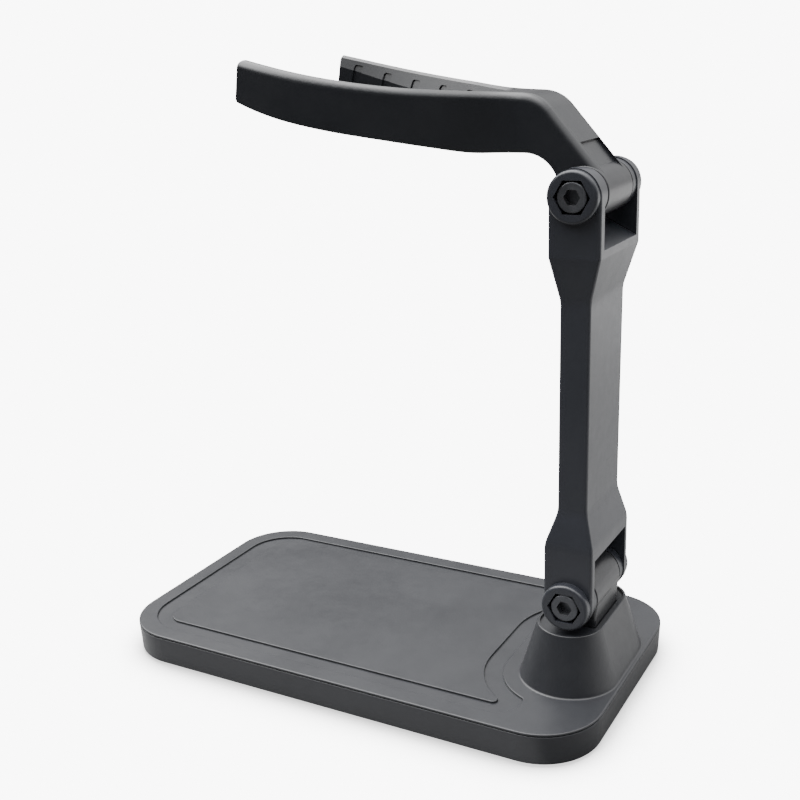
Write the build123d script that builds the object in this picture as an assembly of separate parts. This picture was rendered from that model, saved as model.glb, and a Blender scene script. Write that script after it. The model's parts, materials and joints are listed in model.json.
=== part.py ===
from build123d import *
import os
from math import sin, cos, tan, radians, sqrt, atan2

os.makedirs("parts", exist_ok=True)

# ---------------------------------------------------------------------------
# Hands-free overhead scanner stand: weighted base, pedestal, two friction
# hinges, double-clevis arm and a tong-shaped fork that cradles the scanner.
# Millimetres. Origin: centre of the base footprint at the soles of the feet.
# +Z up, the fork reaches towards -X, the hinge pins lie along Y.
# ---------------------------------------------------------------------------

# base
base_length = 200.0
base_width = 112.0
base_corner_r = 23.0
base_height = 13.2            # soles of the feet to the rim of the top cover
foot_proud = 0.7              # feet stand this far below the tray
foot_r, foot_seat = 8.0, 0.8
tray_floor = 1.8
tray_top_z = 12.05
tray_draft = 3.0              # degrees, the side wall narrows downwards
cavity_inset = 2.7            # base outline to the tray's inner wall
cover_lip_z = 12.55           # underside of the cover's thin visible lip
cover_skin = 2.0
seam_depth = 0.8
plug_gap, plug_wall = 0.15, 1.6   # ring under the cover that drops into the tray
tray_boss_z = 5.0             # tray bosses meet cover bosses here
screw_seat_z = 3.4            # the base screw heads bear here
cover_pilot_z = 9.8
floor_z = foot_proud + tray_floor

# shallow channel round the book plateau
channel_depth = 0.8
chan_out_left, chan_out_right, chan_out_half = -93.3, 72.0, 48.7
chan_in_left, chan_in_right, chan_in_half = -85.0, 70.0, 42.5
chan_out_left_r, chan_out_right_r, chan_in_left_r = 17.5, 9.0, 7.0
chan_out_tip_r, chan_in_tip_r = 1.5, 1.9
ring_x, ring_half = 80.6, 13.0          # where the channel passes the pedestal
ring_outer_r, ring_inner_r = 31.4, 24.5

# pedestal (moulded with the cover)
ped_x = 80.4
ped_foot_r, ped_foot_half = 18.1, 12.9
ped_top_r, ped_top_half = 12.0, 12.2
ped_top_z = base_height + 21.0
ped_wall = 2.2
ped_roof = 2.0
ped_rim_r = 11.1
ped_rim_depth = 0.9

# ballast plate
plate_z, plate_t = floor_z + 0.02, 3.0
plate_margin, plate_corner_r = 6.0, 18.0

# hinges
lower_x, upper_x = 81.75, 83.1   # the arm leans a little towards the right end
lower_z = base_height + 31.2
upper_z = base_height + 175.0
hinges = (("lower", lower_x, lower_z), ("upper", upper_x, upper_z))
knuckle_r = 8.8
knuckle_half = 12.2
boss_r = 8.65
boss_outer = 23.0
boss_inner = 12.95
screw_r = 3.0                 # M6
screw_length = 39.5
knuckle_bore_r = 3.06         # running fit on the screw
arm_bore_r = 3.1
head_r, head_h = 5.0, 6.0
head_seat = -16.7
socket_af, socket_depth = 5.0, 3.2
near_pocket_af = 10.8
far_pocket_af = 10.2
nut_af, nut_seat, nut_h = 9.95, 16.2, 6.0
washer_r, washer_t, washer_bore_r = 8.4, 0.7, 3.1

# hinge block
flange_x, flange_half, flange_r = 82.25, 11.6, 12.6
flange_z0, flange_z1 = plate_z + plate_t + 0.02, 13.0
block_half_top = 7.86         # half the block's length at the crown
block_taper = 0.082           # the block narrows downwards, per mm

# arm
ear_half_x = 9.0
low_ear = (lower_x, ear_half_x, 19.6)      # centre x, half length, half width
low_mid = (82.15, 5.4, 16.9)
high_mid = (82.6, 5.35, 17.2)
high_ear = (upper_x, ear_half_x, 20.3)
slot_half_y = 16.7
arm_corner_r = 1.0
flare_lo_0, flare_lo_1 = base_height + 53.0, base_height + 65.0
flare_up_0, flare_up_1 = base_height + 140.0, base_height + 155.0
arm_bends = ((flare_lo_0, 14.0), (flare_lo_1, 16.0), (flare_up_0, 16.0))   # height, radius
lower_web_z = base_height + 48.6
upper_web_z = base_height + 163.0
upper_web_edge_z = base_height + 157.7

# fasteners in the base, (x, y)
base_screw_xy = ((-92.0, 0.0), (-30.0, 48.8), (-30.0, -48.8), (40.0, 48.8), (40.0, -48.8),
                 (93.2, 33.0), (93.2, -33.0))
block_screw_xy = ((76.4, 17.6), (76.4, -17.6), (88.9, 17.6), (88.9, -17.6))
foot_xy = {"foot_left_front": (-80.0, -37.0), "foot_left_rear": (-80.0, 37.0),
           "foot_right_front": (80.0, -37.0), "foot_right_rear": (80.0, 37.0)}


# ---------------------------------------------------------------------------
# Shared helpers
# ---------------------------------------------------------------------------
def save(shape, name):
    solids = shape.solids()
    out = solids[0] if len(solids) == 1 else Compound(children=list(solids))
    out.label = name
    export_step(out, f"parts/{name}.step")


def try_fillet(body, edges, *radii):
    """Fillet the group with the first radius that works, else return the body as it was."""
    edges = list(edges)
    if not edges:
        return body
    for r in radii:
        # the kernel may refuse a fillet, or return a broken body
        try:
            out = fillet(edges, r)
            if out.is_valid and len(out.solids()) == len(body.solids()):
                return out
        except Exception:
            pass
    return body


def base_slab(inset, z, height):
    """Slab that follows the base outline, drawn in by inset."""
    outline = RectangleRounded(base_length - 2 * inset, base_width - 2 * inset,
                               base_corner_r - inset)
    return extrude(Pos(0, 0, z) * outline, height)


def obround(cx, half, r):
    """Slot shape along Y, centred at (cx, 0)."""
    ends = Pos(0, half) * Circle(r), Pos(0, -half) * Circle(r)
    return Pos(cx, 0) * (Rectangle(2 * r, 2 * half) + ends[0] + ends[1])


def post(x, y, r, z0, z1):
    """Cylinder along Z from z0 to z1."""
    return Pos(x, y, (z0 + z1) / 2) * Cylinder(r, z1 - z0)


def drum(x, z, r, y0, y1):
    """Cylinder along Y between y0 and y1."""
    return Pos(x, (y0 + y1) / 2, z) * Rot(90, 0, 0) * Cylinder(r, abs(y1 - y0))


def hex_y(x, z, af, y0, y1):
    """Hexagonal prism along Y from y0 up to y1, af across flats."""
    prism = extrude(RegularPolygon(af / 2, 6, major_radius=False), y1 - y0)
    return Pos(x, y1, z) * Rot(90, 0, 0) * prism


def side_view(face, half):
    """Solid from a face drawn as (x, z), reaching half to each side of y = 0."""
    return Pos(0, half, 0) * (Rot(90, 0, 0) * extrude(face, 2 * half))


def knuckle(x, z):
    barrel = drum(x, z, knuckle_r, -knuckle_half, knuckle_half)
    return fillet(barrel.edges().filter_by(GeomType.CIRCLE), 0.4)


def cut_cross(body, x, y, z, length, width, height):
    """Cross recess centred at height z."""
    body -= Pos(x, y, z) * Box(length, width, height)
    body -= Pos(x, y, z) * Box(width, length, height)
    return body


def is_level(edge, z, tolerance):
    box = edge.bounding_box()
    return abs(box.min.Z - z) < tolerance and abs(box.max.Z - z) < tolerance


# ---------------------------------------------------------------------------
# Base: tray, feet, cover with plateau and hollow pedestal
# ---------------------------------------------------------------------------
def make_tray():
    """Open-topped shell with a drafted side wall."""
    top_plane = Plane(origin=(0, 0, tray_top_z), z_dir=(0, 0, -1))
    tray = extrude(top_plane * RectangleRounded(base_length, base_width, base_corner_r),
                   tray_top_z - foot_proud, taper=tray_draft)
    tray = try_fillet(tray, tray.faces().sort_by(Axis.Z)[0].edges(), 1.2)
    tray = try_fillet(tray, tray.faces().sort_by(Axis.Z)[-1].edges(), 0.25)
    tray -= base_slab(cavity_inset, floor_z, tray_top_z)
    for x, y in base_screw_xy:
        tray += post(x, y, 4.4, floor_z - 0.4, tray_boss_z)
    for x, y in base_screw_xy:
        tray -= post(x, y, 3.1, foot_proud - 0.0005, screw_seat_z + 0.0005)
        tray -= post(x, y, 1.6, 2.0, 6.0)
    for x, y in foot_xy.values():
        tray -= post(x, y, foot_r + 0.15, foot_proud - 1.0, foot_proud + foot_seat)
    return tray


def make_foot(x, y):
    pad = post(x, y, foot_r, 0.0, foot_proud + foot_seat)
    return fillet(pad.edges().sort_by(Axis.Z)[0], 0.4)


def make_channel():
    """Plan of the channel: outer loop less inner loop, both open round the pedestal."""
    outer = (Pos((chan_out_left + chan_out_right) / 2, 0)
             * Rectangle(chan_out_right - chan_out_left, 2 * chan_out_half))
    outer = fillet(outer.vertices().group_by(Axis.X)[0], chan_out_left_r)
    outer = fillet(outer.vertices().group_by(Axis.X)[-1], chan_out_right_r)
    outer -= obround(ring_x, ring_half, ring_inner_r)
    tips = [v for v in outer.vertices() if v.X > 71.5 and 34.0 < abs(v.Y) < 37.5]
    outer = fillet(tips, chan_out_tip_r)
    inner = (Pos((chan_in_left + chan_in_right) / 2, 0)
             * Rectangle(chan_in_right - chan_in_left, 2 * chan_in_half))
    inner = fillet(inner.vertices().group_by(Axis.X)[0], chan_in_left_r)
    inner -= obround(ring_x, ring_half, ring_outer_r)
    inner = inner.faces().sort_by(Axis.X)[0]
    tips = [v for v in inner.vertices() if v.X > 66.0]
    inner = fillet(tips, chan_in_tip_r)
    return outer - inner


def make_cover():
    lip = base_slab(0.0, cover_lip_z, base_height - cover_lip_z)
    lip = try_fillet(lip, lip.faces().sort_by(Axis.Z)[-1].edges(), 0.45)
    seat = base_slab(seam_depth, tray_top_z + 0.02, cover_lip_z - tray_top_z)
    skin_z = base_height - cover_skin
    plug = base_slab(cavity_inset + plug_gap, skin_z - 1.4, 3.0)
    plug -= base_slab(cavity_inset + plug_gap + plug_wall, skin_z - 1.5, 1.5)
    cover = lip + seat + plug

    pedestal = loft([
        Pos(0, 0, base_height - 0.3) * obround(ped_x, ped_foot_half, ped_foot_r + 0.09),
        Pos(0, 0, ped_top_z) * obround(ped_x, ped_top_half, ped_top_r)], ruled=True)
    pedestal = try_fillet(pedestal, pedestal.faces().sort_by(Axis.Z)[-1].edges(), 0.35)
    cover += pedestal
    foot_edges = [e for e in cover.edges() if is_level(e, base_height, 0.02)
                  and e.bounding_box().min.X > 60 and e.bounding_box().max.X < 99.2
                  and abs(e.center().Y) < 31.6]
    cover = try_fillet(cover, foot_edges, 0.7)

    # hollow of the pedestal
    slope = (ped_foot_r - ped_top_r) / (ped_top_z - base_height)
    roof_z = ped_top_z - ped_rim_depth - ped_roof
    hollow_foot = obround(ped_x, ped_foot_half, ped_foot_r - ped_wall)
    roof_r = ped_top_r - ped_wall + slope * (ped_top_z - roof_z)
    hollow = loft([Pos(0, 0, 5.0) * hollow_foot, Pos(0, 0, base_height) * hollow_foot],
                  ruled=True)
    hollow += loft([Pos(0, 0, base_height) * hollow_foot,
                    Pos(0, 0, roof_z) * obround(ped_x, ped_top_half + 0.1, roof_r)], ruled=True)
    cover -= hollow
    # rimmed recess on the crown
    crown_plan = obround(ped_x, ped_top_half, ped_rim_r)
    cover -= extrude(Pos(0, 0, ped_top_z - ped_rim_depth) * crown_plan, 5.0)

    cover -= extrude(Pos(0, 0, base_height - channel_depth) * make_channel(),
                     channel_depth + 1.0)
    rim_edges = [e for e in cover.edges() if is_level(e, base_height, 0.01)
                 and e.bounding_box().max.X < 73.0 and e.bounding_box().min.X > -94.0
                 and abs(e.center().Y) < 49.5]
    cover = try_fillet(cover, rim_edges, 0.3)

    # screw bosses under the skin
    for x, y in base_screw_xy:
        cover += post(x, y, 3.4, tray_boss_z, skin_z + 0.5)
    for x, y in base_screw_xy:
        cover -= post(x, y, 1.5, tray_boss_z, cover_pilot_z)
    # mouth for the hinge block
    mouth = RectangleRounded(2 * block_half_top + 0.6, 2 * knuckle_half + 0.7, 1.4)
    cover -= Pos(lower_x, 0, ped_top_z - 3.0) * extrude(mouth, 6.0)
    return cover


# ---------------------------------------------------------------------------
# Steel ballast plate and the screws in the base
# ---------------------------------------------------------------------------
sink_depth = 2.2              # countersink and head of the hinge block screws
block_shank_r = 1.95


def make_plate():
    outline = RectangleRounded(base_length - 2 * plate_margin, base_width - 2 * plate_margin,
                               plate_corner_r)
    plate = extrude(Pos(0, 0, plate_z) * outline, plate_t)
    z0, z1 = plate_z - 0.5, plate_z + plate_t + 0.5
    for x, y in base_screw_xy:
        plate -= post(x, y, 5.2, z0, z1)
    for x, y in block_screw_xy:
        plate -= post(x, y, 2.2, z0, z1)
        plate -= Pos(x, y, plate_z + sink_depth / 2) * Cone(4.25, 2.2, sink_depth)
    return plate


def make_block_screw(x, y):
    """Countersunk, head down in the plate."""
    z0 = plate_z + 0.02
    head = Pos(x, y, z0 + sink_depth / 2) * Cone(4.0, block_shank_r, sink_depth)
    screw = head + post(x, y, block_shank_r, z0, z0 + 10.0)
    return cut_cross(screw, x, y, plate_z + 0.5, length=4.6, width=0.9, height=1.6)


def make_base_screw(x, y):
    """Round head below, seated in the tray."""
    head = post(x, y, 2.75, screw_seat_z - 2.2, screw_seat_z)
    head = fillet(head.edges().sort_by(Axis.Z)[0], 0.8)
    screw = head + post(x, y, 1.45, screw_seat_z, screw_seat_z + 6.0)
    return cut_cross(screw, x, y, 1.6, length=3.4, width=0.7, height=1.4)


def screw_set(make, places):
    return Compound(children=[make(x, y).solids()[0] for x, y in places])


# ---------------------------------------------------------------------------
# Hinge block: flange on the plate, column through the crown, knuckle on top
# ---------------------------------------------------------------------------
def block_section(z):
    half = block_half_top - block_taper * (ped_top_z - z)
    return Pos(lower_x, 0, z) * RectangleRounded(2 * half, 2 * knuckle_half, 1.2)


def make_hinge_block():
    block = extrude(Pos(0, 0, flange_z0) * obround(flange_x, flange_half, flange_r),
                    flange_z1 - flange_z0)
    column = loft([block_section(flange_z1 - 1), block_section(lower_z)], ruled=True)
    block = block + column + knuckle(lower_x, lower_z)
    block -= drum(lower_x, lower_z, knuckle_bore_r, -20, 20)
    for x, y in block_screw_xy:
        block -= post(x, y, 2.0, flange_z0 - 0.5, flange_z1 + 0.5)
    return block


# ---------------------------------------------------------------------------
# Arm: one moulding, a clevis at each end, screw bosses and pockets
# ---------------------------------------------------------------------------
def arm_outline(rows):
    """Face from (height, low, high) rows, with the arm's bends rounded."""
    points = [(low, z) for z, low, high in rows]
    points += [(high, z) for z, low, high in reversed(rows)]
    face = make_face(Polyline(*points, close=True))
    for z, r in arm_bends:
        face = fillet([v for v in face.vertices() if abs(v.Y - z) < 1e-4], r)
    return face


def make_arm():
    mid_x = (lower_x + upper_x) / 2
    rows = [(lower_z - 12, low_ear), (flare_lo_0, low_ear), (flare_lo_1, low_mid),
            (flare_up_0, high_mid), (flare_up_1, high_ear), (upper_z + 12, high_ear)]
    front = arm_outline([(z, cx - half_x, cx + half_x) for z, (cx, half_x, _) in rows])
    flank = arm_outline([(z, -half_y, half_y) for z, (_, _, half_y) in rows])
    arm = side_view(front, 30) & (Pos(mid_x, 0, 0) * (Rot(0, 0, 90) * side_view(flank, 30)))
    long_edges = [e for e in arm.edges() if e.bounding_box().size.Z > 0.3]
    arm = try_fillet(arm, long_edges, arm_corner_r)
    # round ends about the hinge pins
    span = (Pos(mid_x, 0, (lower_z + upper_z) / 2)
            * Box(2 * ear_half_x + 6, 60, upper_z - lower_z))
    span += (drum(lower_x, lower_z, ear_half_x, -30, 30)
             + drum(upper_x, upper_z, ear_half_x, -30, 30))
    arm = arm & span

    # slots between the ears; the floor of the upper one falls away towards +X
    arm -= Pos(lower_x, 0, lower_web_z - 20) * Box(30, 2 * slot_half_y, 40)
    brow = (upper_x - 1.5, upper_web_z)
    slot = make_face(Polyline(
        (upper_x - 15, upper_web_z), brow, (upper_x + ear_half_x, upper_web_edge_z),
        (upper_x + 15, upper_web_edge_z - 3.4), (upper_x + 15, upper_z + 30),
        (upper_x - 15, upper_z + 30), close=True))
    slot = fillet(slot.vertices().sort_by_distance(brow).first, 6.0)
    arm -= side_view(slot, slot_half_y)

    # bosses round each screw, on both ears
    for _, x, z in hinges:
        for side in (-1, 1):
            boss = drum(x, z, boss_r, side * boss_inner, side * boss_outer)
            circles = boss.edges().filter_by(GeomType.CIRCLE).sort_by(Axis.Y)
            arm += fillet(circles[-1 if side > 0 else 0], 1.1)
    for _, x, z in hinges:
        arm -= drum(x, z, arm_bore_r, -30, 30)
        arm -= hex_y(x, z, near_pocket_af, -30, head_seat)
        arm -= hex_y(x, z, far_pocket_af, nut_seat, 30)
    return arm


# ---------------------------------------------------------------------------
# Hinge hardware: screw, nut and two friction washers per hinge
# ---------------------------------------------------------------------------
def make_hinge_screw(x, z):
    head_end = head_seat - head_h
    head = drum(x, z, head_r, head_end, head_seat)
    head = fillet(head.edges().filter_by(GeomType.CIRCLE).sort_by(Axis.Y)[0], 0.5)
    shank = drum(x, z, screw_r, head_seat, head_seat + screw_length)
    shank = chamfer(shank.edges().filter_by(GeomType.CIRCLE).sort_by(Axis.Y)[-1], 0.5)
    screw = head + shank
    screw -= hex_y(x, z, socket_af, head_end - 1, head_end + socket_depth)
    return screw


def make_hinge_nut(x, z):
    """Hexagon with eased corners and a round collar on the outer end."""
    hex_y0, hex_y1 = nut_seat + 0.02, nut_seat + nut_h - 1.0
    nut = hex_y(x, z, nut_af, hex_y0, hex_y1)
    easing = drum(x, z, nut_af / 2 + 0.35, hex_y0, hex_y1)
    nut = nut & chamfer(easing.edges().filter_by(GeomType.CIRCLE), 0.35)
    nut += drum(x, z, nut_af / 2 - 0.5, hex_y1 - 0.2, nut_seat + nut_h)
    nut = try_fillet(nut, nut.edges().filter_by(GeomType.CIRCLE).sort_by(Axis.Y)[-1:], 0.4)
    nut -= drum(x, z, screw_r + 0.02, nut_seat - 1, nut_seat + nut_h + 1)
    return nut


def make_washer(x, z, side):
    inner_y = side * (knuckle_half + 0.03)
    outer_y = side * (knuckle_half + 0.03 + washer_t - 0.02)
    washer = drum(x, z, washer_r, inner_y, outer_y)
    return washer - drum(x, z, washer_bore_r, inner_y - side, outer_y + side)


# ---------------------------------------------------------------------------
# Fork in plan: two bowed prongs and a neck. Each prong follows a ridge line of
# a long arc (bow), a short arc (bend) and a straight run into the neck. A
# heading is the angle of the outward normal from +Y towards +X, in degrees.
# ---------------------------------------------------------------------------
prong_out, prong_in = 2.3, 3.4           # outside / inside of the ridge line
bow_centre, bow_r, bow_end = (-15.66, -85.91), 119.86, 19.14   # +Y prong
bend_r, bend_end = 31.09, 33.48
tip_heading = -12.0                      # rough end, trimmed later
neck_half = 12.0
neck_fillet = 24.0
neck_end_x = 100.0
crotch_x = 50.0


def polar(centre, r, angle):
    """Point at distance r from centre, the angle in radians from the second axis."""
    return (centre[0] + r * sin(angle), centre[1] + r * cos(angle))


bow_end_pt = polar(bow_centre, bow_r, radians(bow_end))
bend_centre = polar(bow_end_pt, -bend_r, radians(bow_end))


def on_ridge(heading, offset):
    """Point on the +Y prong's plan curve at a heading, offset outwards."""
    centre, r = (bow_centre, bow_r) if heading <= bow_end else (bend_centre, bend_r)
    return polar(centre, r + offset, radians(heading))


straight = radians(bend_end)             # heading of the straight run
# outer outline of the +Y half: straight run, fillet, neck
out_line = on_ridge(bend_end, prong_out)
neck_corner_x = out_line[0] + (out_line[1] - neck_half) / sin(straight) * cos(straight)
tangent_len = neck_fillet * tan(straight / 2)
out_a = (neck_corner_x - tangent_len * cos(straight), neck_half + tangent_len * sin(straight))
out_b = (neck_corner_x + tangent_len, neck_half)
out_centre = (out_b[0], neck_half + neck_fillet)
out_mid = polar(out_centre, -neck_fillet, straight / 2)
# inner outline of the +Y half: straight run into the round crotch
in_line = on_ridge(bend_end, -prong_in)
meet_x = in_line[0] + in_line[1] / sin(straight) * cos(straight)
crotch_cx = (crotch_x - meet_x * sin(straight)) / (1 - sin(straight))
crotch_r = crotch_x - crotch_cx
in_a = polar((crotch_cx, 0), crotch_r, straight)


def half_outline(side):
    """Edges of one half of the plan, side +1 or -1 in Y."""
    def flip(p):
        return (p[0], side * p[1])

    def arcs(offset):
        runs = ((tip_heading, 4, bow_end), (bow_end, (bow_end + bend_end) / 2, bend_end))
        return [ThreePointArc(*[flip(on_ridge(a, offset)) for a in run]) for run in runs]

    outside = arcs(prong_out) + [
        Line(flip(out_line), flip(out_a)),
        ThreePointArc(flip(out_a), flip(out_mid), flip(out_b)),
        Line(flip(out_b), flip((neck_end_x, neck_half)))]
    inside = arcs(-prong_in) + [Line(flip(in_line), flip(in_a))]
    tip = Line(flip(on_ridge(tip_heading, prong_out)), flip(on_ridge(tip_heading, -prong_in)))
    return outside + inside + [tip]


def outline_half(x):
    """Outer half width of the fork at x."""
    if x > out_b[0]:
        return neck_half
    if x > out_a[0]:
        return out_centre[1] - sqrt(neck_fillet ** 2 - (out_centre[0] - x) ** 2)
    if x > out_line[0]:
        return out_line[1] - (x - out_line[0]) * tan(straight)
    on_bend = x > on_ridge(bow_end, prong_out)[0]
    centre, r = (bend_centre, bend_r) if on_bend else (bow_centre, bow_r)
    return centre[1] + sqrt((r + prong_out) ** 2 - (x - centre[0]) ** 2)


def inner_wall(x):
    """Y and heading (radians) of the +Y prong's inner wall at x."""
    if x >= in_line[0]:
        return in_line[1] - (x - in_line[0]) * tan(straight), straight
    on_bow = x < on_ridge(bow_end, -prong_in)[0]
    centre, r = (bow_centre, bow_r) if on_bow else (bend_centre, bend_r)
    y = centre[1] + sqrt((r - prong_in) ** 2 - (x - centre[0]) ** 2)
    return y, atan2(x - centre[0], y - centre[1])


# ---------------------------------------------------------------------------
# Fork in side view, points as (x, z)
# ---------------------------------------------------------------------------
slope_tip, slope_root = radians(12.52), radians(2.69)   # fall of the crest
top_start, top_run = (-20.0, base_height + 217.1), 75.0   # crest arc and its length in x
top_r = top_run / (sin(slope_tip) - sin(slope_root))
top_centre = polar(top_start, top_r, slope_tip)
top_mid = polar(top_centre, -top_r, (slope_tip + slope_root) / 2)
top_end = polar(top_centre, -top_r, slope_root)
# sloped back of the neck, tangent to the knuckle
back_dir = (0.657, -0.754)
back_normal = (-back_dir[1], back_dir[0])
back_foot = (upper_x + knuckle_r * back_normal[0], upper_z + knuckle_r * back_normal[1])
back_len = ((top_end[1] - tan(slope_root) * (back_foot[0] - top_end[0]) - back_foot[1])
            / (-back_dir[1] - tan(slope_root) * back_dir[0]))
back_corner = (back_foot[0] - back_len * back_dir[0], back_foot[1] - back_len * back_dir[1])
back_corner_r = 14.0
# underside from tip to root: x, height above the cover rim
under_rows = ((-48.0, 211.0), (-36.0, 205.9), (-26.0, 202.4), (-16.0, 199.6), (-6.0, 197.4),
              (4.0, 195.5), (14.0, 193.8), (24.0, 192.05), (34.0, 190.0), (41.5, 188.35),
              (50.0, 187.5))
under = [(x, base_height + z) for x, z in under_rows]
# scoop between the root and the knuckle
scoop_centre, scoop_r = (62.4, base_height + 175.4), 12.1


def top_height(x):
    """Height of the crest line at x."""
    if x < top_start[0]:
        return top_start[1] + (top_start[0] - x) * tan(slope_tip)
    if x < top_end[0]:
        return top_centre[1] - sqrt(top_r ** 2 - (top_centre[0] - x) ** 2)
    return top_end[1] - (x - top_end[0]) * tan(slope_root)


def fork_blank():
    """Plan and side view, each extruded, in common."""
    crotch = ThreePointArc(in_a, (crotch_x, 0), (in_a[0], -in_a[1]))
    end = Line((neck_end_x, neck_half), (neck_end_x, -neck_half))
    plan = make_face(half_outline(1) + half_outline(-1) + [crotch, end])
    plan_solid = extrude(Pos(0, 0, 150) * plan, 120)

    far_low = under[0]
    far_tip = (far_low[0], top_height(far_low[0]))
    pin = (upper_x, upper_z)
    scoop_end = (scoop_centre[0] + scoop_r, upper_z)
    scoop_top = (scoop_centre[0], scoop_centre[1] + scoop_r)
    profile = make_face([
        Line(far_tip, top_start), ThreePointArc(top_start, top_mid, top_end),
        Line(top_end, back_corner), Line(back_corner, back_foot),
        Line(back_foot, pin), Line(pin, scoop_end),
        ThreePointArc(scoop_end, polar(scoop_centre, scoop_r, radians(45)), scoop_top),
        Line(scoop_top, under[-1]),
        Spline(under, tangents=[(12.0, -5.1), (1.0, 0.0)]), Line(far_low, far_tip)])
    corner = profile.vertices().sort_by_distance((back_corner[0], back_corner[1], 0)).first
    return plan_solid & side_view(fillet(corner, back_corner_r), 60)


# ---------------------------------------------------------------------------
# Fork details
# ---------------------------------------------------------------------------
fork_edge_r = 2.95                       # crown rounding outside
bevel_lean, crown_lean = radians(20.0), radians(58.0)   # from the vertical
# x, depth below the crest
bevel_height = ((-45.0, 3.4), (-31.0, 4.25), (-14.0, 5.6), (-1.5, 6.45), (15.0, 6.9),
                (60.0, 7.0))
crown_height = ((-45.0, 0.8), (0.0, 1.0), (60.0, 1.3))
# x, depth of the groove's top below the crest
grooves = ((-24.0, 2.3), (-11.5, 2.8), (1.0, 3.1), (13.5, 3.15), (26.0, 3.2), (38.0, 3.2))
groove_w, groove_depth, groove_r = 3.6, 0.65, 0.9
panel_half, panel_len, panel_depth = 9.3, 13.6, 1.0
# ends of the prongs
tip_outer, tip_inner, tip_z = (-35.0, 34.1), (-32.5, 28.6), base_height + 210.8
sole_z = base_height + 205.6
tip_lean = radians(10.0)
tip_top_r, tip_low_r = 2.2, 1.8
tip_top_fall, tip_low_fall, tip_gap = tan(slope_tip), 0.36, 0.12
tip_rise = 0.28                          # rise per mm of x along the end face

# headings of the stations round the inside wall
wall_headings = (-13.5, -11.0, -8.5, -6.0, -3.5, -1.0, 1.5, 4.0, 6.5, 9.0, 11.5, 14.0, 16.5,
                 bow_end, 23.9, 28.7, bend_end)
crotch_headings = (bend_end, 42.0, 52.0, 62.0, 71.0, 80.5, 90.0)


def between(table, x):
    """Linear reading of a table of (x, value)."""
    for (xa, va), (xb, vb) in zip(table, table[1:]):
        if x <= xb:
            return va + (vb - va) * (x - xa) / (xb - xa)
    return table[-1][1]


def inside_stations():
    """(x, y, nx, ny) from tip to tip: point on the inside wall, normal into the material."""
    wall = [(on_ridge(a, -prong_in), a) for a in wall_headings]
    wall.append((((in_line[0] + in_a[0]) / 2, (in_line[1] + in_a[1]) / 2), bend_end))
    wall += [(polar((crotch_cx, 0), crotch_r, radians(a)), a) for a in crotch_headings]
    half = [(x, y, sin(radians(a)), cos(radians(a))) for (x, y), a in wall]
    return half + [(x, -y, nx, -ny) for x, y, nx, ny in reversed(half[:-1])]


def ribbon(section):
    """Solid swept round the inside wall; section(x) lists (inset into the material, z)."""
    wires = []
    for x, y, nx, ny in inside_stations():
        points = [Vector(x + nx * inset, y + ny * inset, z) for inset, z in section(x)]
        wires.append(Wire.make_polygon(points, close=True))
    return Solid.make_loft(wires)


def bevel_sizes(x):
    """Crest height, depths of bevel and crown below it, inset where the two meet."""
    bevel, crown = between(bevel_height, x), between(crown_height, x)
    return top_height(x), bevel, crown, (bevel - crown) * tan(bevel_lean)


def bevel_section(x):
    crest, bevel, crown, inset = bevel_sizes(x)
    low_z = crest - bevel - 0.6 / tan(bevel_lean)
    return [(-1.9, low_z), (-0.6, low_z), (inset, crest - crown),
            (inset + (crown + 1.5) * tan(crown_lean), crest + 1.5), (-1.9, crest + 1.5)]


def groove_section(x):
    crest, bevel, crown, inset = bevel_sizes(x)
    return [(-1.9, 170.0), (groove_depth, 170.0), (groove_depth, crest - bevel),
            (inset + groove_depth, crest - crown), (-1.9, crest - crown)]


def groove_arch(x, drop, side):
    """Round-cornered upright slot, square to the crest, along the wall's normal."""
    y, angle = inner_wall(x)
    lean = (top_height(x - 1) - top_height(x + 1)) / 2
    plane = Plane(origin=Vector(x, side * y, top_height(x) - drop),
                  x_dir=Vector(cos(angle), -side * sin(angle), -lean).normalized(),
                  z_dir=Vector(sin(angle), side * cos(angle), 0))
    # the plane's own Y points down on the +Y prong and up on the other
    arch = Pos(0, side * 20) * Rectangle(groove_w, 40)
    arch = fillet(arch.vertices().sort_by(lambda v: abs(v.Y))[:2], groove_r)
    return extrude(plane * arch, 7.0, both=True)


def on_outside(edge):
    """True where the edge follows the outer outline short of the neck's end."""
    points = (edge @ 0.5, edge @ 0.0, edge @ 1.0)
    return (all(abs(abs(p.Y) - outline_half(p.X)) < 0.12 for p in points)
            and points[0].X < 62)


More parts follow.
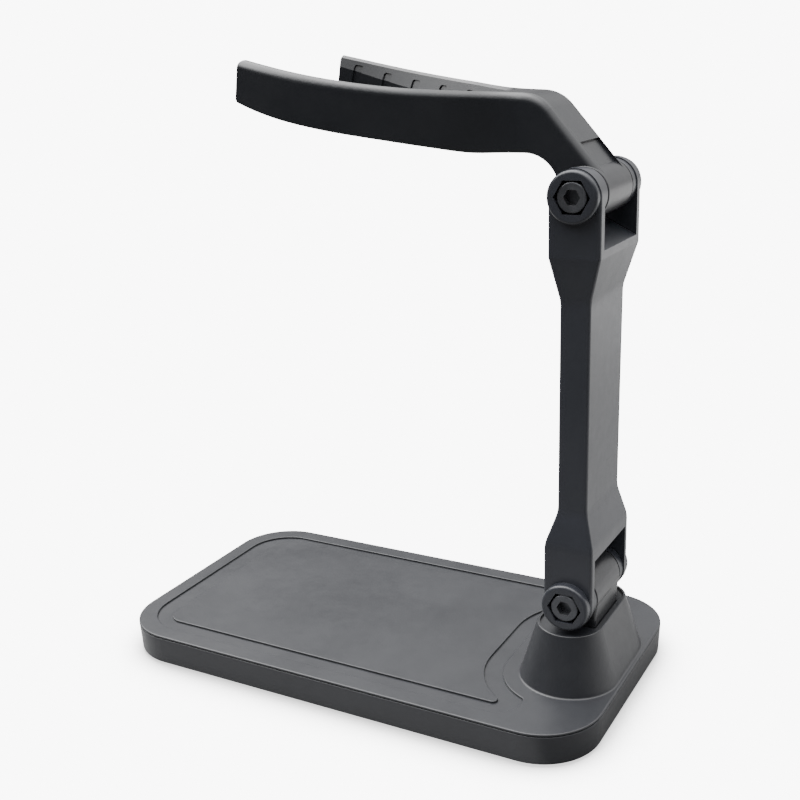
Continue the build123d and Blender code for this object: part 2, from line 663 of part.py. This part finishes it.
def trim_tips(fork):
    """Ends of the prongs: slanted in plan, leaning, corners rounded in side view."""
    mid_x, mid_y = (tip_outer[0] + tip_inner[0]) / 2, (tip_outer[1] + tip_inner[1]) / 2
    crest_z = top_height(mid_x)
    top = (mid_x + (crest_z - tip_z) * tan(tip_lean), crest_z + tip_gap)
    low = (mid_x + (sole_z - tip_z) * tan(tip_lean), sole_z - tip_gap)
    keep = make_face(Polyline(top, (top[0] + 30, top[1] - 30 * tip_top_fall),
                              (low[0] + 30, low[1] - 30 * tip_low_fall), low, close=True))
    for corner, r in ((top, tip_top_r), (low, tip_low_r)):
        keep = fillet(keep.vertices().sort_by_distance((*corner, 0)).first, r)
    away = make_face(Polyline((mid_x - 20, 190), (mid_x + 9, 190), (mid_x + 9, 250),
                              (mid_x - 20, 250), close=True))
    away -= keep
    away = Rot(90, 0, 0) * away
    dx, dy = tip_outer[0] - tip_inner[0], tip_outer[1] - tip_inner[1]
    along = Vector(dx, dy, -dx * tip_rise)
    for side in (1, -1):
        direction = Vector(along.X, side * along.Y, along.Z).normalized()
        face = Pos(0, side * mid_y, 0) * away
        fork -= extrude(face, 9.0, dir=direction) + extrude(face, 9.0, dir=-direction)

    # eased upright edges of the two end faces
    normal = along.cross(Vector(sin(tip_lean), 0, cos(tip_lean))).normalized()
    for side in (1, -1):
        want = Vector(normal.X, side * normal.Y, normal.Z)
        ends = [f for f in fork.faces().filter_by(GeomType.PLANE)
                if f.center().X < -30 and f.center().Y * side > 0
                and abs(f.normal_at().dot(want)) > 0.98]
        if ends:
            face = max(ends, key=lambda f: f.area)
            upright = [e for e in face.edges()
                       if abs(e.tangent_at(0.5).Z) > 0.9 and e.length > 4]
            fork = try_fillet(fork, upright, 0.5, 0.35)
    return fork


def make_fork():
    fork = fork_blank()

    # crown rounding along the outside, made before the inside is bevelled
    crown_edges = [e for e in fork.edges() if on_outside(e)
                   and abs((e @ 0.5).Z - top_height((e @ 0.5).X)) < 0.15]
    fork = try_fillet(fork, crown_edges, fork_edge_r, fork_edge_r - 0.3, fork_edge_r - 0.6)

    fork -= ribbon(bevel_section)
    groove_core = ribbon(groove_section)
    for x, drop in grooves:
        for side in (1, -1):
            fork -= groove_core & groove_arch(x, drop, side)

    # shallow panel sunk in the sloped back, cut on past its foot
    plane = Plane(origin=(back_foot[0], 0, back_foot[1]), x_dir=(0, 1, 0),
                  z_dir=(back_normal[0], 0, back_normal[1]))
    outline = Pos(0, panel_len / 2 - 4) * Rectangle(2 * panel_half, panel_len + 8)
    panel = extrude(plane * outline, 3.0)
    fork -= panel.moved(Location((-back_normal[0] * panel_depth, 0,
                                  -back_normal[1] * panel_depth)))

    # ease the lower outside edge nearest each tip
    low_edges = [e for e in fork.edges() if on_outside(e)
                 and (e @ 0.5).Z < top_height((e @ 0.5).X) - 12
                 and abs((e @ 0.0).X - (e @ 1.0).X) > 1.5]
    for side in (1, -1):
        chain = [e for e in low_edges if (e @ 0.5).Y * side > 0]
        fork = try_fillet(fork, [min(chain, key=lambda e: (e @ 0.5).X)], 0.7)

    fork = trim_tips(fork)
    fork += knuckle(upper_x, upper_z)
    fork -= drum(upper_x, upper_z, knuckle_bore_r, -30, 30)
    return fork


# ---------------------------------------------------------------------------
# Build and write every piece
# ---------------------------------------------------------------------------
save(make_tray(), "base_tray")
for foot_name, (x, y) in foot_xy.items():
    save(make_foot(x, y), foot_name)
save(make_cover(), "base_cover")
save(make_plate(), "ballast_plate")
save(screw_set(make_block_screw, block_screw_xy), "hinge_block_screws")
save(screw_set(make_base_screw, base_screw_xy), "base_screws")
save(make_hinge_block(), "hinge_block")
save(make_arm(), "arm_link")
for tag, x, z in hinges:
    save(make_hinge_screw(x, z), f"{tag}_hinge_screw")
    save(make_hinge_nut(x, z), f"{tag}_hinge_nut")
    for side_name, side in (("near", -1), ("far", 1)):
        save(make_washer(x, z, side), f"{tag}_friction_washer_{side_name}")
save(make_fork(), "fork")
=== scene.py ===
"""Studio look for a weighted base with a cover, arm and fork in black plastic.

The product stands on the floor, +Z up, -Y to the front and +X to the right.
The CAD pieces keep their shape. Each gets a procedural material, and the stage is a paper
sweep lit by the world alone, with painted shade and a painted contact shadow on it, seen from the
front right. Lengths are in metres.
"""

import json

import bmesh
import bpy
from mathutils import Matrix, Vector


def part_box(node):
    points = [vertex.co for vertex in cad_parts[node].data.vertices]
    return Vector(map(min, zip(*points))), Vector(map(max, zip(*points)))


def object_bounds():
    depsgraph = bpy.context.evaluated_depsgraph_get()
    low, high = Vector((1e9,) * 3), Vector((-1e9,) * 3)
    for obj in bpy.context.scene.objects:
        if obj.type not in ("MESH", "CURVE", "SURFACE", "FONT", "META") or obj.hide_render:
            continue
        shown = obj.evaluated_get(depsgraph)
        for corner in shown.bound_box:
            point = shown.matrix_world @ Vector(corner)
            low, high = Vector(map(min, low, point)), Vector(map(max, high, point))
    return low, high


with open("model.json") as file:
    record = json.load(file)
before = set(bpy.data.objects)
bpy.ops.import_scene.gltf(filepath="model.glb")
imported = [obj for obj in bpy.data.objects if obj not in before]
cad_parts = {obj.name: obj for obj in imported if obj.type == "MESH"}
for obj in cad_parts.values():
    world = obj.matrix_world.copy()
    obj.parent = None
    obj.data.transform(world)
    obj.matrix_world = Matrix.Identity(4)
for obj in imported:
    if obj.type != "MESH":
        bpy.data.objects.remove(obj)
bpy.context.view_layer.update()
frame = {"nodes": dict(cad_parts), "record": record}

scene = bpy.context.scene

SWEEP = 9.0                 # brightness of floor and background as the camera sees them

FLOOR_HALF_SIZE = 6.0
FLOOR_CELLS = 4             # grid segments each way
FLOOR_GAP = 0.00002         # floor surface below the lowest point of the product

RIM_ABOVE_TRAY = 0.00115    # cover rim above the top of the base tray
CAMERA_X = 0.2115
CAMERA_Y = -0.3670
CAMERA_ABOVE_RIM = 0.22315


# ---------------------------------------------------------------------------
# Node helpers
# ---------------------------------------------------------------------------
class Nodes:
    """An emptied node tree of a material or world, with short ways to fill it."""

    def __init__(self, owner):
        owner.use_nodes = True
        self.tree = owner.node_tree
        self.tree.nodes.clear()

    def add(self, kind, inputs=None, **props):
        """A new node; props such as operation are set before its inputs."""
        node = self.tree.nodes.new(kind)
        for key, value in props.items():
            setattr(node, key, value)
        self.fill(node, inputs or {})
        return node

    def fill(self, node, inputs):
        """Set each named or numbered input to a value, or link it to another node's output."""
        for key, value in inputs.items():
            if isinstance(value, bpy.types.NodeSocket):
                self.tree.links.new(value, node.inputs[key])
            else:
                node.inputs[key].default_value = value

    def math(self, operation, a, b, clamp=False):
        node = self.add("ShaderNodeMath", {0: a, 1: b}, operation=operation, use_clamp=clamp)
        return node.outputs[0]

    def dot(self, a, b):
        node = self.add("ShaderNodeVectorMath", {0: a, 1: b}, operation="DOT_PRODUCT")
        return node.outputs["Value"]

    def remap(self, value, span, to=(0.0, 1.0), smooth=False):
        """Carry the range span onto the range to, held level beyond its ends."""
        node = self.add("ShaderNodeMapRange", {
            "Value": value,
            "From Min": span[0],
            "From Max": span[1],
            "To Min": to[0],
            "To Max": to[1],
        }, clamp=True, interpolation_type="SMOOTHSTEP" if smooth else "LINEAR")
        return node.outputs["Result"]

    def mix(self, factor, first, second):
        """Blend two colours, each an RGB tuple or a node's output."""
        inputs = {0: factor}
        for index, colour in ((6, first), (7, second)):
            inputs[index] = (*colour, 1) if isinstance(colour, tuple) else colour
        return self.add("ShaderNodeMix", inputs, data_type="RGBA").outputs[2]


class Material(Nodes):
    """A new material holding an output and a Principled shader, not yet joined."""

    def __init__(self, name):
        self.material = bpy.data.materials.new(name)
        super().__init__(self.material)
        self.out = self.add("ShaderNodeOutputMaterial")
        self.bsdf = self.add("ShaderNodeBsdfPrincipled")


class PartMaterial(Material):
    """A Principled material with textures in millimetres: their scales are in cycles per mm."""

    def __init__(self, name):
        super().__init__(name)
        self.fill(self.out, {"Surface": self.bsdf.outputs["BSDF"]})
        coord = self.add("ShaderNodeTexCoord").outputs["Object"]
        scaled = self.add("ShaderNodeVectorMath", {0: coord, "Scale": 1000.0}, operation="SCALE")
        self.mm = scaled.outputs["Vector"]

    def noise(self, scale, detail, rough, stretch=None):
        """Noise; stretch is a further scale along each axis."""
        vector = self.mm
        if stretch:
            mapping = self.add("ShaderNodeMapping", {"Vector": vector, "Scale": stretch})
            vector = mapping.outputs["Vector"]
        node = self.add("ShaderNodeTexNoise", {
            "Scale": scale, "Detail": detail, "Roughness": rough, "Vector": vector})
        return node.outputs["Fac"]

    def bump(self, height, distance, strength, under=None):
        """A bump in metres, laid over the normal under where one is given."""
        inputs = {"Strength": strength, "Distance": distance, "Height": height}
        if under is not None:
            inputs["Normal"] = under
        return self.add("ShaderNodeBump", inputs).outputs["Normal"]

    def edge(self, radius):
        """0 on flats, rising to 1 where the surface turns within radius."""
        bevel = self.add("ShaderNodeBevel", {"Radius": radius}, samples=6)
        geometry = self.add("ShaderNodeNewGeometry")
        facing = self.dot(bevel.outputs["Normal"], geometry.outputs["Normal"])
        turn = self.math("SUBTRACT", 1.0, facing)
        return self.remap(turn, span=(0.0, 0.25))

    def finish(self, colour, rough, normal):
        self.fill(self.bsdf, {"Base Color": colour, "Roughness": rough, "Normal": normal})
        return self.material


# ---------------------------------------------------------------------------
# Part materials
# ---------------------------------------------------------------------------
def moulded(name, base, tint, rough, grain, depth, wear=0.35):
    """Moulded plastic: grain of the given depth, slow gloss drift, rubbed edges, scratches."""
    mat = PartMaterial(name)
    slow = mat.noise(scale=0.035, detail=3.0, rough=0.55)
    mid = mat.noise(scale=0.25, detail=4.0, rough=0.6)
    fine = mat.noise(scale=grain, detail=3.0, rough=0.65)
    pits = mat.add("ShaderNodeTexVoronoi", {"Scale": grain * 0.8, "Vector": mat.mm})
    patchy = mat.remap(mid, span=(0.35, 0.7), to=(0.25, 1.0))
    rub = mat.math("MULTIPLY", mat.edge(radius=0.0006), patchy)

    # Hairline scratches in two directions; only the noise peaks show, so they stay sparse.
    scratch = mat.math("MAXIMUM", *[
        mat.remap(mat.noise(scale=1.0, detail=2.0, rough=0.5, stretch=stretch), span=(0.715, 0.74))
        for stretch in ((0.35, 0.05, 0.9), (0.06, 0.7, 0.4))])

    colour = mat.mix(mat.remap(slow, span=(0.3, 0.7)), base, tint)
    colour = mat.mix(mat.math("MULTIPLY", rub, wear), colour, (0.10, 0.10, 0.108))

    # Slow and mid drift, edges rubbed glossier, scratches duller.
    gloss = mat.remap(slow, span=(0.25, 0.75), to=(rough - 0.03, rough + 0.03))
    gloss = mat.math("ADD", gloss, mat.remap(mid, span=(0.3, 0.7), to=(-0.02, 0.025)))
    gloss = mat.math("SUBTRACT", gloss, mat.math("MULTIPLY", rub, 0.08))
    gloss = mat.math("ADD", gloss, mat.math("MULTIPLY", scratch, 0.03), clamp=True)

    # Grain and pits, then a shallow waviness over them.
    height = mat.math("ADD", mat.math("MULTIPLY", fine, 0.6),
                      mat.math("MULTIPLY", pits.outputs["Distance"], 0.5))
    normal = mat.bump(height, distance=depth, strength=1.0)
    waves = mat.remap(mid, span=(0.2, 0.8))
    normal = mat.bump(waves, distance=20e-6, strength=0.5, under=normal)
    return mat.finish(colour, gloss, normal)


def metal(name, base, rough, brushed, metallic, worn, wear):
    """Metal with fine lines, stretched by brushed, and edges worn towards the colour worn."""
    mat = PartMaterial(name)
    slow = mat.noise(scale=0.2, detail=3.0, rough=0.5)
    lines = mat.noise(scale=1.0, detail=3.0, rough=0.6, stretch=brushed)
    edge = mat.edge(radius=0.0003)
    darker, lighter = (tuple(c * shade for c in base) for shade in (0.8, 1.15))
    colour = mat.mix(mat.remap(slow, span=(0.3, 0.7)), darker, lighter)
    colour = mat.mix(mat.math("MULTIPLY", edge, wear), colour, worn)
    mat.fill(mat.bsdf, {"Metallic": metallic})
    gloss = mat.math("ADD",
                     mat.remap(lines, span=(0.3, 0.7), to=(rough - 0.06, rough + 0.06)),
                     mat.remap(slow, span=(0.3, 0.7), to=(-0.04, 0.05)), clamp=True)
    return mat.finish(colour, gloss, mat.bump(lines, distance=15e-6, strength=0.6))


def rubber(name):
    """Matt dark rubber with patches of pale dust."""
    mat = PartMaterial(name)
    mid = mat.noise(scale=0.5, detail=4.0, rough=0.6)
    fine = mat.noise(scale=6.0, detail=4.0, rough=0.7)
    dust = mat.noise(scale=2.2, detail=5.0, rough=0.7)
    dust = mat.remap(dust, span=(0.55, 0.8), to=(0.0, 0.5))
    colour = mat.mix(mat.remap(mid, span=(0.3, 0.7)),
                     (0.018, 0.018, 0.018), (0.032, 0.031, 0.030))
    colour = mat.mix(dust, colour, (0.09, 0.088, 0.082))
    gloss = mat.remap(mid, span=(0.3, 0.7), to=(0.62, 0.8))
    return mat.finish(colour, gloss, mat.bump(fine, distance=40e-6, strength=0.8))


MATERIALS = {
    "cover_plastic": moulded(
        "cover_satin_abs", base=(0.0105, 0.0113, 0.0138), tint=(0.0145, 0.0154, 0.0182),
        rough=0.36, grain=3.4, depth=12e-6, wear=0.16),
    "tray_plastic": moulded(
        "tray_satin_abs", base=(0.0095, 0.0104, 0.0130), tint=(0.0130, 0.0140, 0.0170),
        rough=0.36, grain=3.4, depth=12e-6, wear=0.16),
    "block_plastic": moulded(
        "block_nylon", base=(0.015, 0.0158, 0.0182), tint=(0.021, 0.0218, 0.0245),
        rough=0.30, grain=4.5, depth=4e-6, wear=0.14),
    # The arm's satin black is lighter than the cover's, painted light against the shade the fork
    # casts on it; the fork's is darker, painted shade against the strong upper-left softbox.
    "arm_plastic": moulded(
        "arm_satin_abs_painted_light", base=(0.0175, 0.0190, 0.0240), tint=(0.0225, 0.0242, 0.0300),
        rough=0.33, grain=3.6, depth=11e-6, wear=0.16),
    "fork_plastic": moulded(
        "fork_satin_abs_painted_shade", base=(0.0070, 0.0078, 0.0102), tint=(0.0100, 0.0109, 0.0136),
        rough=0.33, grain=3.6, depth=11e-6, wear=0.16),
    "washer_nylon": moulded(
        "washer_nylon", base=(0.010, 0.010, 0.011), tint=(0.014, 0.014, 0.015),
        rough=0.5, grain=5.0, depth=10e-6),
    "black_steel": metal(
        "black_oxide_steel", base=(0.088, 0.091, 0.099), rough=0.36, brushed=(6.0, 6.0, 6.0),
        metallic=0.75, worn=(0.26, 0.26, 0.27), wear=0.45),
    "zinc_steel": metal(
        "zinc_plated_steel", base=(0.50, 0.51, 0.53), rough=0.28, brushed=(5.0, 1.0, 5.0),
        metallic=1.0, worn=(0.7, 0.7, 0.7), wear=0.3),
    "ballast_steel": metal(
        "rolled_steel", base=(0.33, 0.33, 0.34), rough=0.42, brushed=(0.15, 4.0, 4.0),
        metallic=1.0, worn=(0.5, 0.5, 0.5), wear=0.3),
    "foot_rubber": rubber("silicone_rubber"),
}

slot_of = {part["node"]: part["material_slot"] for part in frame["record"]["subparts"]}
for name, part in frame["nodes"].items():
    part.data.materials.clear()
    part.data.materials.append(MATERIALS[slot_of[name]])


# ---------------------------------------------------------------------------
# Floor, with painted shade and a painted contact shadow
# ---------------------------------------------------------------------------
def painted_floor_shade(mat):
    """Painted shade on the paper by place, as reflections see it: dim towards the front."""
    position = mat.add("ShaderNodeNewGeometry").outputs["Position"]
    place = mat.add("ShaderNodeSeparateXYZ", {"Vector": position})
    x, y = place.outputs["X"], place.outputs["Y"]
    # Painted shade: dimmer towards the front and towards the left.
    front = mat.remap(y, span=(-0.20, 0.03), to=(0.07, 0.43), smooth=True)
    left = mat.remap(x, span=(-0.5, 0.05), to=(0.35, 1.0), smooth=True)

    # Painted light and shade by distance towards the back right: bright close in, a dimmer band,
    # then bright again.
    diagonal = mat.math("ADD", mat.math("MULTIPLY", x, 0.489), mat.math("MULTIPLY", y, 0.872))
    band = mat.math("MULTIPLY",
                    mat.remap(diagonal, span=(0.49, 0.66), to=(0.62, 1.05), smooth=True),
                    mat.remap(diagonal, span=(0.10, 0.28), to=(1.45, 1.0), smooth=True))

    # A painted shadow of the base, narrow and to its right: a sharp fall, then a slower rise.
    rise = mat.remap(x, span=(0.095, 0.17), to=(0.45, 1.0), smooth=True)
    painted_shadow_strip = mat.math("MAXIMUM", rise, mat.remap(x, span=(0.085, 0.095), to=(1.0, 0.0)))

    grey = mat.math("MULTIPLY", mat.math("MULTIPLY", front, left),
                    mat.math("MULTIPLY", band, painted_shadow_strip))
    return mat.add("ShaderNodeCombineColor", {0: grey, 1: grey, 2: grey}).outputs["Color"]


def floor_material():
    """Paper with painted shade for reflections and bounced light; a glowing white sweep for the
    camera.
    """
    mat = Material("studio_floor")
    to_camera = mat.add("ShaderNodeLightPath").outputs["Is Camera Ray"]
    mat.fill(mat.bsdf, {
        "Base Color": mat.mix(to_camera, painted_floor_shade(mat), (0.9, 0.9, 0.9)),
        "Roughness": 0.9,
        "Specular IOR Level": 0.1,
    })
    # A painted contact shadow: the glow darkens only where the base meets the floor.
    painted_contact_shadow = mat.add("ShaderNodeAmbientOcclusion", {"Distance": 0.022}, samples=8)
    strength = mat.remap(painted_contact_shadow.outputs["AO"], span=(0.42, 0.95), to=(1.4, SWEEP), smooth=True)
    glow = mat.add("ShaderNodeEmission", {"Color": (1, 1, 1, 1), "Strength": strength})
    blend = mat.add("ShaderNodeMixShader", {
        0: to_camera, 1: mat.bsdf.outputs["BSDF"], 2: glow.outputs["Emission"]})
    mat.fill(mat.out, {"Surface": blend.outputs["Shader"]})
    return mat.material


def stage_floor():
    mesh = bpy.data.meshes.new("studio_floor")
    grid = bmesh.new()
    bmesh.ops.create_grid(
        grid, x_segments=FLOOR_CELLS, y_segments=FLOOR_CELLS, size=FLOOR_HALF_SIZE)
    grid.to_mesh(mesh)
    grid.free()
    floor = bpy.data.objects.new("studio_floor", mesh)
    lowest = Vector(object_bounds()[0]).z
    floor.location = (0, 0, lowest - FLOOR_GAP)
    scene.collection.objects.link(floor)
    mesh.materials.append(floor_material())


stage_floor()

# ---------------------------------------------------------------------------
# World: brightness by direction, with a dim room in front and pale walls behind
# ---------------------------------------------------------------------------
ROOM_BASE = 0.07

# Each lobe: direction, cosine to it where the light starts, cosine where it is full, strength
LOBES = [
    ((0, 0, 1), 0.42, 0.80, 3.2),               # ceiling bank
    ((0.02, -0.05, 1), 0.88, 0.98, 4.2),        # its brighter middle
    ((-0.62, 0.04, 0.78), 0.75, 0.93, 6.2),     # softbox, upper left
    ((-0.56, -0.55, 0.62), 0.92, 0.99, 3.4),    # its lower edge towards the front
    ((0.30, 0.95, 0.0), 0.25, 0.85, 0.32),      # pale wall behind
    ((-0.50, 0.85, -0.15), 0.93, 0.99, 0.32),   # foot of the wall, behind left
    ((0.30, 0.78, 0.50), 0.80, 0.95, 0.62),     # brighter band high on the wall
    ((0.85, 0.52, 0.1), 0.55, 0.95, 0.50),      # right side, towards the back
]


def light_room():
    world = bpy.data.worlds.new("studio")
    scene.world = world
    room = Nodes(world)
    view = room.add("ShaderNodeTexCoord").outputs["Generated"]
    total = ROOM_BASE
    for direction, start, full, strength in LOBES:
        lean = room.dot(view, Vector(direction).normalized())
        lobe = room.remap(lean, span=(start, full), to=(0.0, strength), smooth=True)
        total = room.math("ADD", total, lobe)
    to_camera = room.add("ShaderNodeLightPath").outputs["Is Camera Ray"]
    seen = room.add("ShaderNodeMix", {0: to_camera, 2: total, 3: SWEEP}).outputs[0]
    background = room.add("ShaderNodeBackground", {"Color": (1, 1, 1, 1), "Strength": seen})
    room.add("ShaderNodeOutputWorld", {"Surface": background.outputs["Background"]})


light_room()


# ---------------------------------------------------------------------------
# Camera: front right, looking down a little
# ---------------------------------------------------------------------------
def place_camera():
    lens = bpy.data.cameras.new("camera")
    lens.sensor_width = 36.0
    lens.lens = 51.67
    lens.clip_start = 0.01
    camera = bpy.data.objects.new("camera", lens)
    # The camera's own axes; it looks along the opposite of back.
    right = Vector((0.87717, 0.47892, -0.03467))
    up = Vector((-0.11297, 0.27600, 0.95449))
    back = Vector((0.46669, -0.83334, 0.29621))
    pose = Matrix((right, up, back)).transposed().to_4x4()
    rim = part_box("base_tray")[1].z + RIM_ABOVE_TRAY
    pose.translation = Vector((CAMERA_X, CAMERA_Y, rim + CAMERA_ABOVE_RIM))
    camera.matrix_world = pose
    scene.collection.objects.link(camera)
    scene.camera = camera


place_camera()
